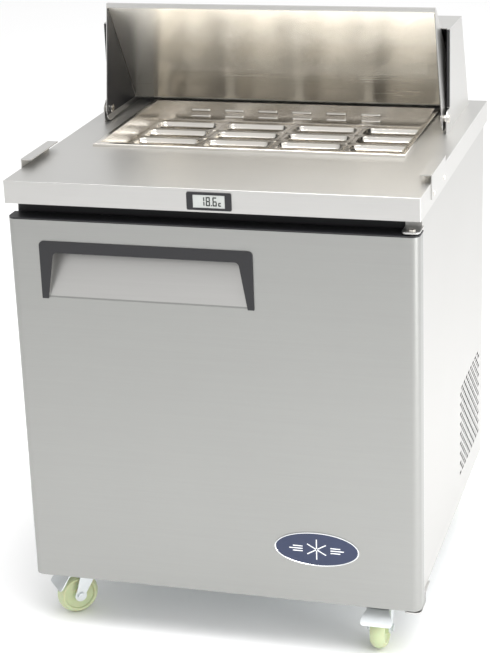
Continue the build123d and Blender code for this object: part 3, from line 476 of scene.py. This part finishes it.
def make_pan(name):
    """A drawn pan: rolled flange, rounded mouth, stacking step, tapered walls and a rounded floor."""
    middle, size = span(name)
    top = size.z
    width, depth = size.x, size.y
    mouth = (width - 2 * PAN_FLANGE[0], depth - 2 * PAN_FLANGE[1])
    floor = (mouth[0] - 2 * PAN_DRAFT, mouth[1] - 2 * PAN_DRAFT)

    def section(base, grow, corner, height):
        ring = rounded_ring(base[0] + 2 * grow, base[1] + 2 * grow, corner + grow)
        return [(middle.x + x, middle.y + y, middle.z - top / 2 + height) for x, y in ring]

    rim = (width, depth)
    edge = top - PAN_FLANGE_EDGE
    floor_corner = PAN_MOUTH_CORNER - PAN_DRAFT / 2
    rings = [
        section(floor, -5 * MM, floor_corner, 0),
        section(floor, -1.5 * MM, floor_corner, 1 * MM),
        section(floor, 0.5 * MM, floor_corner, 5 * MM),
        section(mouth, PAN_WALL - 2.5 * MM, PAN_MOUTH_CORNER, edge - PAN_STEP),
        section(mouth, PAN_WALL - 0.6 * MM, PAN_MOUTH_CORNER, edge - PAN_STEP + 2.5 * MM),
        section(mouth, PAN_WALL, PAN_MOUTH_CORNER, edge),
        section(rim, -0.3 * MM, PAN_FLANGE_CORNER, edge),
        section(rim, 0, PAN_FLANGE_CORNER, edge + 0.7 * MM),
        section(rim, -0.4 * MM, PAN_FLANGE_CORNER, top - 0.5 * MM),
        section(rim, -1.4 * MM, PAN_FLANGE_CORNER, top),
        section(mouth, 2.6 * MM, PAN_MOUTH_CORNER, top),
        section(mouth, 1.0 * MM, PAN_MOUTH_CORNER, top - 0.4 * MM),
        section(mouth, 0.1 * MM, PAN_MOUTH_CORNER, top - 1.8 * MM),
        section(mouth, -0.6 * MM, PAN_MOUTH_CORNER, edge - PAN_STEP + 3 * MM),
        section(mouth, -3.2 * MM, PAN_MOUTH_CORNER, edge - PAN_STEP),
        section(floor, 0, floor_corner, 8 * MM),
        section(floor, -1.6 * MM, floor_corner, 3.5 * MM),
        section(floor, -6 * MM, floor_corner, 1.6 * MM),
    ]
    points = [point for ring in rings for point in ring]
    return points, skin_faces(len(rings), len(rings[0]))


# ---- Side vents and lid ------------------------------------------------------------------------------------
VENT_BACK = 33 * MM                # from the panel's rear edge
VENT_SPAN = 250 * MM
VENT_RISE = 56 * MM                # from the panel's bottom
VENT_ROWS = 18
VENT_ROW_PITCH = 11 * MM
VENT_PITCH = 28 * MM
VENT_LENGTH = 17 * MM
VENT_HEIGHT = 6.4 * MM
LID_TAPER = 14 * MM                # how much narrower each side of the lid is at its lip
LID_SHEET = 1.5 * MM
LID_FOLD_RISE = 34 * MM            # lower edge of the lining to its fold
LID_FOLD_BACK = 3.2 * MM           # how far the lining steps back below its fold
LID_FOLD_DROP = 1.5 * MM
LID_SHEET_RISE = 0.3 * MM          # the lining's outer face above its inner one


def make_vented_panel(node):
    """The side sheet, pierced with staggered rows of short slots near its rear edge."""
    low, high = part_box(node)
    back = high.y - VENT_BACK
    front = back - VENT_SPAN
    bottom = low.z + VENT_RISE
    top = bottom + VENT_ROWS * VENT_ROW_PITCH
    bars = [(low.y, front, low.z, high.z), (back, high.y, low.z, high.z),
            (front, back, low.z, bottom), (front, back, top, high.z)]
    for row in range(VENT_ROWS):
        base = bottom + row * VENT_ROW_PITCH
        sill = base + (VENT_ROW_PITCH - VENT_HEIGHT) / 2
        head = sill + VENT_HEIGHT
        bars += [(front, back, base, sill), (front, back, head, base + VENT_ROW_PITCH)]
        edge = front
        slot = front + 3 * MM + (VENT_PITCH / 2 if row % 2 else 0)
        while slot + VENT_LENGTH < back:
            bars.append((edge, slot, sill, head))
            edge = slot + VENT_LENGTH
            slot += VENT_PITCH
        bars.append((edge, back, sill, head))
    return join_parts([bar_box((low.x, y0, z0), (high.x, y1, z1)) for y0, y1, z0, z1 in bars])


def lid_half(z, inset):
    """Half of the open lid's width at a height, inside its side plates."""
    low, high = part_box("lid_shell")
    pivot = joint_place("lid_hinge")[0].z
    return high.x - LID_TAPER * (z - pivot) / (high.z - pivot) - LID_SHEET - inset


def make_lid_lining(node):
    """The lid's inner sheet, which turns back along a fold above its lower edge."""
    low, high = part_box(node)
    sheet = 1 * MM
    slope = (high.y - low.y) / (high.z - low.z)
    fold = low.z + LID_FOLD_RISE
    crease = low.y + slope * (high.z - fold)
    line = [(low.y, high.z), (crease, fold), (crease + LID_FOLD_BACK, fold - LID_FOLD_DROP),
            (high.y - sheet, low.z)]
    rings = []
    for y, z in line:
        half = lid_half(z, 0.3 * MM)
        outer = (y + sheet, z + LID_SHEET_RISE)
        rings += [(-half, y, z), (half, y, z), (half, *outer), (-half, *outer)]
    return rings, skin_faces(len(line), 4)


def make_dark_side_sheet(side):
    """A near-black sheet on the inside of one of the lid's side plates."""
    low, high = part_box("lid_inner_panel")
    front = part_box("lid_shell")[0].y + 1 * MM
    top = high.z - 3 * MM
    corners = [(front, low.z), (high.y - 3 * MM, low.z), (low.y + 1 * MM, top), (front, top)]
    points = [(side * lid_half(z, inset), y, z) for inset in (0.05 * MM, 0.9 * MM) for y, z in corners]
    return points, skin_faces(2, 4)


# ---- Door caps ---------------------------------------------------------------------------------------------
DOOR_CORNER = 16 * MM
DOOR_CAP = 3 * MM


def make_door_cap(node, at_top):
    """An end cap of the door, with the skin's rounded front corners."""
    low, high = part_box(node)
    base = high.z - DOOR_CAP if at_top else low.z
    rounded = rounded_ring(high.x - low.x, 2 * (high.y - low.y), DOOR_CORNER)
    outline = [(x, max(y, -(high.y - low.y)) + high.y) for x, y in rounded if y < 0]
    outline += [(high.x, high.y), (low.x, high.y)]
    points = [(x, y, z) for z in (base, base + DOOR_CAP) for x, y in outline]
    return points, skin_faces(2, len(outline))


# ---- Badge -------------------------------------------------------------------------------------------------
BADGE_RIM = 2.6 * MM
BADGE_STEPS = 96
EMBLEM_SHEET = 0.5 * MM
EMBLEM_STROKE = 2.2 * MM
EMBLEM_GAP = 6 * MM                # between the star and its bars
EMBLEM_BAR = 26 * MM               # the middle bar's length
EMBLEM_BAR_LESS = 7 * MM           # how much shorter the outer bars are
EMBLEM_BAR_PITCH = 5 * MM


def badge_section(middle, half_width, half_height, front):
    """One ring of points round the badge, a given distance behind its front."""
    return [(middle.x + half_width * math.cos(turn), front, middle.z + half_height * math.sin(turn))
            for turn in (-2 * math.pi * step / BADGE_STEPS for step in range(BADGE_STEPS))]


def make_badge_rim(node):
    """The polished oval rim and back of the badge."""
    middle, size = span(node)
    back = middle.y + size.y / 2
    outer = (size.x / 2, size.z / 2)
    steps = [(0, size.y), (0, 0.5 * MM), (0.7 * MM, 0), (BADGE_RIM - 0.7 * MM, 0), (BADGE_RIM, 0.8 * MM),
             (BADGE_RIM + 1 * MM, 0.9 * MM)]
    rings = [badge_section(middle, outer[0] - inset, outer[1] - inset, back - size.y + drop)
             for inset, drop in steps]
    return [point for ring in rings for point in ring], skin_faces(len(rings), BADGE_STEPS)


def make_badge_face(node):
    """The slightly domed enamel inside the rim."""
    middle, size = span(node)
    front = middle.y - size.y / 2
    half_width = size.x / 2 - BADGE_RIM
    half_height = size.z / 2 - BADGE_RIM
    rings = [badge_section(middle, half_width * reach, half_height * reach, front + drop)
             for reach, drop in ((1.0, 1.2 * MM), (1.0, 0.7 * MM), (0.9, 0.55 * MM), (0.6, 0.4 * MM),
                                 (0.2, 0.3 * MM))]
    return [point for ring in rings for point in ring], skin_faces(len(rings), BADGE_STEPS)


def make_emblem(node):
    """A plain frost star with three short bars on each side of it."""
    middle, size = span(node)
    front = middle.y - size.y / 2 + 0.15 * MM
    back = front + EMBLEM_SHEET
    arm = size.z * 0.30
    half = EMBLEM_STROKE / 2
    parts = []
    for spoke in range(3):
        turn = math.pi / 2 + spoke * math.pi / 3
        along = (math.cos(turn), math.sin(turn))
        corners = [(middle.x + a * arm * along[0] - b * half * along[1], depth,
                    middle.z + a * arm * along[1] + b * half * along[0])
                   for depth in (front, back) for a, b in ((-1, -1), (1, -1), (1, 1), (-1, 1))]
        parts.append((corners, [(0, 1, 2, 3), (7, 6, 5, 4), (1, 0, 4, 5), (2, 1, 5, 6), (3, 2, 6, 7),
                                (0, 3, 7, 4)]))
    for side in (-1, 1):
        for level in (-1, 0, 1):
            near = middle.x + side * (arm + EMBLEM_GAP)
            far = near + side * (EMBLEM_BAR - EMBLEM_BAR_LESS * abs(level))
            left, right = sorted((near, far))
            z = middle.z + level * EMBLEM_BAR_PITCH
            parts.append(bar_box((left, front, z - half), (right, back, z + half)))
    return join_parts(parts)


# ---- Casters -----------------------------------------------------------------------------------------------
WHEEL_BORE = 4.1 * MM
WHEEL_CROWN = 7 * MM
WHEEL_HUB = 13 * MM
WHEEL_HUB_HALF = 17.5 * MM
WHEEL_WEB_HALF = 9.5 * MM
WHEEL_TREAD_HALF = 14.5 * MM
CROWN_STEPS = 12
PEDAL_SHEET = 2 * MM
# Along the pedal from its pivot to its tread: backward, up and half the width, all in millimetres.
PEDAL_LINE = ((-6, 0, 22.5), (-27, -4.5, 22.5), (-29.5, -6.2, 21.8), (-31, -7.6, 22.4), (-36, -12.2, 26),
              (-42, -18.5, 29.5), (-47.5, -24.8, 31), (-51, -28.6, 29.5), (-52.6, -30.2, 26))
# Round an ear: backward and up.
PEDAL_EAR = ((-8, -6), (-8, 0.3), (-4, 4.0), (0, 5), (3.5, 3.5), (5, 0), (3.5, -3.5), (0, -5.5))
EAR_INSIDE = 21.5 * MM
EAR_OUTSIDE = 23.2 * MM


def make_wheel(node, corner):
    """A moulded wheel: chamfered hub, recessed web and a crowned tread."""
    centre, axis = joint_place(f"wheel_{corner}_roll")
    low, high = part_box(node)
    radius = (high.z - low.z) / 2
    half_hub = WHEEL_HUB_HALF
    half_tread = WHEEL_TREAD_HALF
    shoulder = radius - WHEEL_CROWN
    flank = [(half_hub, WHEEL_BORE), (half_hub, WHEEL_HUB - 1.5 * MM),
             (half_hub - 1 * MM, WHEEL_HUB - 0.4 * MM), (WHEEL_WEB_HALF + 2 * MM, WHEEL_HUB),
             (WHEEL_WEB_HALF + 0.4 * MM, WHEEL_HUB + 1.6 * MM),
             (WHEEL_WEB_HALF, WHEEL_HUB + 5 * MM), (WHEEL_WEB_HALF, shoulder - 8 * MM),
             (WHEEL_WEB_HALF + 1 * MM, shoulder - 5.5 * MM), (half_tread - 0.8 * MM, shoulder - 4 * MM),
             (half_tread, shoulder - 2.6 * MM)]
    tread = [(half_tread * across, shoulder + WHEEL_CROWN * (1 - across ** 2))
             for across in (1 - 2 * step / CROWN_STEPS for step in range(CROWN_STEPS + 1))]
    profile = flank + tread + [(-along, distance) for along, distance in reversed(flank)]
    return lathe(profile, centre, axis)


def make_pedal(corner):
    """A pressed brake pedal: a strip, a crease, a flared tread plate and two ears, drawn about its pivot."""
    centre, across = joint_place(f"pedal_{corner}_press")
    backward = Vector((0, 0, 1)).cross(across)
    rings = []
    for place, (y, z, half) in enumerate(PEDAL_LINE):
        before = PEDAL_LINE[max(place - 1, 0)]
        after = PEDAL_LINE[min(place + 1, len(PEDAL_LINE) - 1)]
        run = Vector((after[0] - before[0], after[1] - before[1])).normalized()
        under = Vector((-run.y, run.x)) * PEDAL_SHEET / MM
        rings.append([(-half, y, z), (half, y, z), (half, y + under.x, z + under.y),
                      (-half, y + under.x, z + under.y)])
    plate = ([tuple(MM * part for part in point) for ring in rings for point in ring],
             skin_faces(len(rings), 4))
    ear = [(y * MM, z * MM) for y, z in PEDAL_EAR]
    points, faces = join_parts([plate, prism(ear, EAR_INSIDE, EAR_OUTSIDE),
                                prism(ear, -EAR_OUTSIDE, -EAR_INSIDE)])
    return [centre + across * x + backward * y + Vector((0, 0, z)) for x, y, z in points], faces


# ---- Display -----------------------------------------------------------------------------------------------
SEGMENTS = {"1": "bc", "8": "abcdefg", "6": "acdefg", "c": "deg"}
DIGIT_TALL = 17 * MM
DIGIT_WIDE = 8 * MM
DIGIT_GAP = 2.4 * MM
DIGITS_LEFT = 16 * MM              # first digit's left side from the display's middle
DOT_STEP = 3.2 * MM                # from the dot's left side to the digit after it
UNIT_SHARE = 0.72                  # the small c against a digit
STROKE = 2.3 * MM


def digit_strokes(character, left, base, tall, wide):
    """The lit strokes of one seven-segment character as (x0, x1, z0, z1)."""
    gap = STROKE * 0.3
    places = {
        "a": (gap, wide - gap, tall - STROKE, tall),
        "g": (gap, wide - gap, tall / 2 - STROKE / 2, tall / 2 + STROKE / 2),
        "d": (gap, wide - gap, 0, STROKE),
        "b": (wide - STROKE, wide, tall / 2 + gap, tall - gap),
        "c": (wide - STROKE, wide, gap, tall / 2 - gap),
        "e": (0, STROKE, gap, tall / 2 - gap),
        "f": (0, STROKE, tall / 2 + gap, tall - gap),
    }
    return [(left + places[key][0], left + places[key][1], base + places[key][2], base + places[key][3])
            for key in SEGMENTS[character]]


def make_digits(node):
    """The reading 18.6 and a small c on the display."""
    middle, size = span(node)
    front = middle.y - size.y / 2
    base = middle.z - DIGIT_TALL / 2
    left = middle.x - DIGITS_LEFT
    pitch = DIGIT_WIDE + DIGIT_GAP
    strokes = []
    for place, character in enumerate("18"):
        strokes += digit_strokes(character, left + place * pitch, base, DIGIT_TALL, DIGIT_WIDE)
    dot = left + 2 * pitch - 1 * MM
    strokes.append((dot, dot + STROKE, base, base + STROKE))
    last = dot + DOT_STEP
    strokes += digit_strokes("6", last, base, DIGIT_TALL, DIGIT_WIDE)
    strokes += digit_strokes("c", last + pitch, base, DIGIT_TALL * UNIT_SHARE, DIGIT_WIDE * UNIT_SHARE)
    return join_parts([bar_box((x0, front - 0.15 * MM, z0), (x1, front - 0.02 * MM, z1))
                       for x0, x1, z0, z1 in strokes])


# ---- Finishes of the pieces --------------------------------------------------------------------------------
def make_finishes(settings):
    steel = tuple(settings.steel)
    black = tuple(settings.black)
    FINISHES.update({
        "satin_across": brushed_steel("satin_steel_across", steel, settings.steel_roughness, "X"),
        # The side sheets are the same steel darkened to 0.86 of its colour: painted shade.
        "satin_upright": brushed_steel("shaded_satin_steel_upright", scaled(steel, 0.86),
                                       settings.steel_roughness, "Z"),
        "satin_deep": brushed_steel("satin_steel_front_to_back", steel, settings.steel_roughness, "Y"),
        "bright_across": brushed_steel("bright_steel_across", tuple(settings.bright_steel),
                                       settings.bright_roughness, "X"),
        "door": brushed_steel("satin_door_steel", tuple(settings.door_steel), settings.steel_roughness, "X"),
        "rolled": rolled_steel(tuple(settings.rolled), settings.rolled_roughness),
        "polished": moulded_plastic("polished_chrome", (0.78, 0.80, 0.82), 0.18, 0.00002, metallic=1.0),
        "zinc": zinc_plate(tuple(settings.zinc)),
        "stucco": stucco_aluminium(tuple(settings.aluminium)),
        # The coil fins take the aluminium darkened to 0.45: painted shade for coils that sit in the dark
        # behind the vents.
        "fins": finned_aluminium(scaled(settings.aluminium, 0.45)),
        "black": moulded_plastic("black_plastic", black, 0.42),
        "rubber": gasket_rubber(),
        "foam": cut_foam(tuple(settings.foam)),
        "nylon": nylon(tuple(settings.nylon)),
        "enamel": moulded_plastic("black_enamel", (0.02, 0.02, 0.02), 0.3, 0.0002, 0.5),
        "white": moulded_plastic("white_epoxy", (0.80, 0.81, 0.80), 0.32, 0.0002, 0.4),
        "grey": moulded_plastic("grey_plastic", (0.52, 0.53, 0.53), 0.42),
        "navy": moulded_plastic("navy_enamel", tuple(settings.navy), 0.30, 0.00003, 0.25),
        "display": moulded_plastic("display_window", (0.50, 0.52, 0.50), 0.20, 0.00002, 0.6),
        "digits": moulded_plastic("display_digits", (0.03, 0.035, 0.03), 0.35, 0.00002),
    })


def dress(finish, *nodes):
    """Gives carried-over pieces their finish."""
    for name in nodes:
        slots = frame["nodes"][name].material_slots
        if not slots:
            frame["nodes"][name].data.materials.append(FINISHES[finish])
        for place in slots:
            place.material = FINISHES[finish]


# ---- Operators -------------------------------------------------------------------------------------------
class PREPTABLE_OT_finishes(bpy.types.Operator):
    """Make the materials."""

    bl_idname = "preptable.finishes"
    bl_label = "Finishes"

    def execute(self, context):
        make_finishes(context.scene.prep_table.finish)
        return {"FINISHED"}


class PREPTABLE_OT_cabinet(bpy.types.Operator):
    """Pierce the right side panel, and dress the cabinet's sheets, frame, liner and foam."""

    bl_idname = "preptable.cabinet"
    bl_label = "Cabinet"

    def execute(self, context):
        dress("satin_upright", "left_side_panel")
        panel = "right_side_panel"
        add_piece("vented_side_panel", *make_vented_panel(panel), "satin_upright", "cabinet", "stainless",
                  panel, smooth=False)
        dress("zinc", "back_panel", "base_panel", "caster_plates")
        dress("stucco", "cabinet_liner")
        dress("foam", "cabinet_insulation")
        dress("black", "front_frame")
        dress("satin_across", "door_hinge_brackets")
        dress("rolled", "hinge_pins")
        return {"FINISHED"}


class PREPTABLE_OT_machinery(bpy.types.Operator):
    """Dress the shelf, coils, fans and compressor."""

    bl_idname = "preptable.machinery"
    bl_label = "Machinery"

    def execute(self, context):
        dress("white", "wire_shelf")
        dress("grey", "shelf_clips", "control_box")
        dress("fins", "condenser_coil", "evaporator_coil")
        dress("black", "condenser_fan", "evaporator_fan", "power_inlet")
        dress("enamel", "compressor", "fan_motors")
        return {"FINISHED"}


class PREPTABLE_OT_worktop(bpy.types.Operator):
    """Dress the worktop, well and board brackets."""

    bl_idname = "preptable.worktop"
    bl_label = "Worktop"

    def execute(self, context):
        dress("satin_across", "worktop")
        dress("rolled", "well_liner", "bracket_screws")
        dress("satin_deep", "board_brackets")
        return {"FINISHED"}


class PREPTABLE_OT_pans(bpy.types.Operator):
    """Draw the twelve food pans."""

    bl_idname = "preptable.pans"
    bl_label = "Pans"

    def execute(self, context):
        for row in PAN_ROWS:
            for column in PAN_COLUMNS:
                node = f"pan_row{row}_column{column}"
                add_piece(f"drawn_{node}", *make_pan(node), "rolled", f"pan_{row}_{column}",
                          "stainless_bright", node)
        return {"FINISHED"}


class PREPTABLE_OT_hood(bpy.types.Operator):
    """Dress the rear hood and the lid, and make the lid's lining and its near-black side sheets."""

    bl_idname = "preptable.hood"
    bl_label = "Hood and Lid"

    def execute(self, context):
        dress("satin_across", "rear_hood", "lid_shell")
        lining = "lid_inner_panel"
        add_piece("folded_lid_lining", *make_lid_lining(lining), "bright_across", "lid", "stainless_bright",
                  lining, smooth=False)
        # Each side plate gets a thin near-black sheet on its inner face.
        for side, name in ((-1, "left"), (1, "right")):
            add_piece(f"lid_{name}_dark_side_sheet", *make_dark_side_sheet(side), "black", "lid", "black_plastic",
                      smooth=False)
        dress("rubber", "hood_gasket")
        return {"FINISHED"}


class PREPTABLE_OT_door(bpy.types.Operator):
    """Dress the door, and make its end caps."""

    bl_idname = "preptable.door"
    bl_label = "Door"

    def execute(self, context):
        dress("door", "door_skin")
        dress("satin_across", "handle_pocket")
        dress("black", "handle_trim")
        caps = "door_caps"
        add_piece("door_top_cap", *make_door_cap(caps, True), "black", "door", "black_plastic", caps)
        add_piece("door_bottom_cap", *make_door_cap(caps, False), "door", "door", "stainless", caps)
        dress("stucco", "door_liner")
        dress("foam", "door_foam")
        dress("rubber", "door_gasket")
        return {"FINISHED"}


class PREPTABLE_OT_badge(bpy.types.Operator):
    """Make the oval badge: rim, enamel face and emblem."""

    bl_idname = "preptable.badge"
    bl_label = "Badge"

    def execute(self, context):
        badge = "name_badge"
        add_piece("badge_rim", *make_badge_rim(badge), "polished", "door", "badge", badge)
        add_piece("badge_face", *make_badge_face(badge), "navy", "door", "badge")
        add_piece("badge_emblem", *make_emblem(badge), "polished", "door", "badge", smooth=False)
        return {"FINISHED"}


class PREPTABLE_OT_thermometer(bpy.types.Operator):
    """Dress the thermometer, and make the digits on its display."""

    bl_idname = "preptable.thermometer"
    bl_label = "Thermometer"

    def execute(self, context):
        dress("black", "thermometer_bezel")
        dress("display", "thermometer_display")
        add_piece("display_digits", *make_digits("thermometer_display"), "digits", "cabinet", "display",
                  smooth=False)
        return {"FINISHED"}


class PREPTABLE_OT_casters(bpy.types.Operator):
    """Dress the caster forks, and make the wheels and brake pedals."""

    bl_idname = "preptable.casters"
    bl_label = "Casters"

    def execute(self, context):
        for corner in CORNERS:
            dress("zinc", f"caster_fork_{corner}")
            wheel = f"caster_wheel_{corner}"
            add_piece(f"moulded_wheel_{corner}", *make_wheel(wheel, corner), "nylon", f"wheel_{corner}",
                      "nylon", wheel)
        for corner in CORNERS[:2]:
            add_piece(f"pressed_pedal_{corner}", *make_pedal(corner), "zinc", f"pedal_{corner}",
                      "galvanised", f"brake_pedal_{corner}")
        return {"FINISHED"}


def add_light(name, place, target, size, power):
    """A soft square light that faces its target."""
    data = bpy.data.lights.new(name, "AREA")
    data.shape = "SQUARE"
    data.size = size
    data.energy = power
    light = bpy.data.objects.new(name, data)
    light.location = place
    light.rotation_euler = (Vector(target) - Vector(place)).to_track_quat("-Z", "Y").to_euler()
    bpy.context.scene.collection.objects.link(light)


class PREPTABLE_OT_stage(bpy.types.Operator):
    """Lay the floor, light the table and place the camera."""

    bl_idname = "preptable.stage"
    bl_label = "Stage"

    def execute(self, context):
        settings = context.scene.prep_table.stage
        self.lay_floor(tuple(settings.floor))
        self.light_world()
        middle = (CAD_BOX[0] + CAD_BOX[1]) / 2
        add_light("overhead_light", (0.5, -0.5, 3.4), middle, 2.6, 120.0)
        add_light("side_light", (3.4, 0.4, 1.8), middle, 2.4, 16.0)
        add_light("rear_light", (2.7, 4.0, 2.6), middle, 3.4, 40.0)
        add_light("edge_light", (3.0, -1.5, 0.8), (0.39, -0.37, 0.5), 1.1, 26.0)
        self.place_camera(context, settings)
        context.scene.view_settings.view_transform = "Standard"
        return {"FINISHED"}

    @staticmethod
    def lay_floor(base):
        mesh = bpy.data.meshes.new("studio_floor")
        corners = [(across * FLOOR_REACH, along * FLOOR_REACH, 0)
                   for across, along in ((-1, -1), (1, -1), (1, 1), (-1, 1))]
        mesh.from_pydata(corners, [], [(0, 1, 2, 3)])
        floor = bpy.data.objects.new("studio_floor", mesh)
        mesh.materials.append(floor_paint(base))
        bpy.context.scene.collection.objects.link(floor)

    @staticmethod
    def light_world():
        """Pale surroundings: brightest behind, overhead and on the table's right, greyer in front."""
        world = bpy.data.worlds.new("pale_studio")
        bpy.context.scene.world = world
        world.use_nodes = True
        tree = Tree(world.node_tree)
        direction = tree.node("ShaderNodeTexCoord", output="Generated")
        across, behind, above = (tree.node("ShaderNodeSeparateXYZ", {}, {0: direction}, output=axis)
                                 for axis in "XYZ")
        background = world.node_tree.nodes["Background"]
        strength = WORLD_LEVEL + across * WORLD_ACROSS + behind * WORLD_BEHIND + above * WORLD_ABOVE
        tree.feed(background, {"Color": (1.0, 1.0, 1.0, 1.0), "Strength": strength})

    @staticmethod
    def place_camera(context, settings):
        azimuth, elevation, roll = settings.azimuth, settings.elevation, settings.roll
        ahead = Vector((-math.sin(azimuth) * math.cos(elevation), math.cos(azimuth) * math.cos(elevation),
                        -math.sin(elevation)))
        right = Vector((math.cos(azimuth), math.sin(azimuth), 0.0))
        up = right.cross(ahead)
        tilted_right = right * math.cos(roll) + up * math.sin(roll)
        tilted_up = up * math.cos(roll) - right * math.sin(roll)
        turn = Matrix((tilted_right, tilted_up, -ahead)).transposed()
        data = bpy.data.cameras.new("camera")
        data.lens = settings.lens
        data.sensor_width = SENSOR_WIDTH
        camera = bpy.data.objects.new("camera", data)
        camera.matrix_world = Matrix.Translation(settings.camera) @ turn.to_4x4()
        context.scene.collection.objects.link(camera)
        context.scene.camera = camera


class PREPTABLE_PT_sidebar(bpy.types.Panel):
    """Lists the table's operators in the sidebar."""

    bl_idname = "PREPTABLE_PT_sidebar"
    bl_label = "Prep Table"
    bl_space_type = "VIEW_3D"
    bl_region_type = "UI"
    bl_category = "Prep Table"

    def draw(self, context):
        for operator in OPERATORS:
            self.layout.operator(operator.bl_idname)


OPERATORS = (
    PREPTABLE_OT_finishes,
    PREPTABLE_OT_cabinet,
    PREPTABLE_OT_machinery,
    PREPTABLE_OT_worktop,
    PREPTABLE_OT_pans,
    PREPTABLE_OT_hood,
    PREPTABLE_OT_door,
    PREPTABLE_OT_badge,
    PREPTABLE_OT_thermometer,
    PREPTABLE_OT_casters,
    PREPTABLE_OT_stage,
)
CLASSES = (FinishSettings, StageSettings, PrepTableSettings, *OPERATORS, PREPTABLE_PT_sidebar)


def register():
    for item in CLASSES:
        bpy.utils.register_class(item)
    bpy.types.Scene.prep_table = PointerProperty(type=PrepTableSettings)


def unregister():
    del bpy.types.Scene.prep_table
    for item in reversed(CLASSES):
        bpy.utils.unregister_class(item)


def main():
    register()
    for operator in OPERATORS:
        getattr(bpy.ops.preptable, operator.bl_idname.split(".")[1])()


if __name__ == "__main__":
    main()
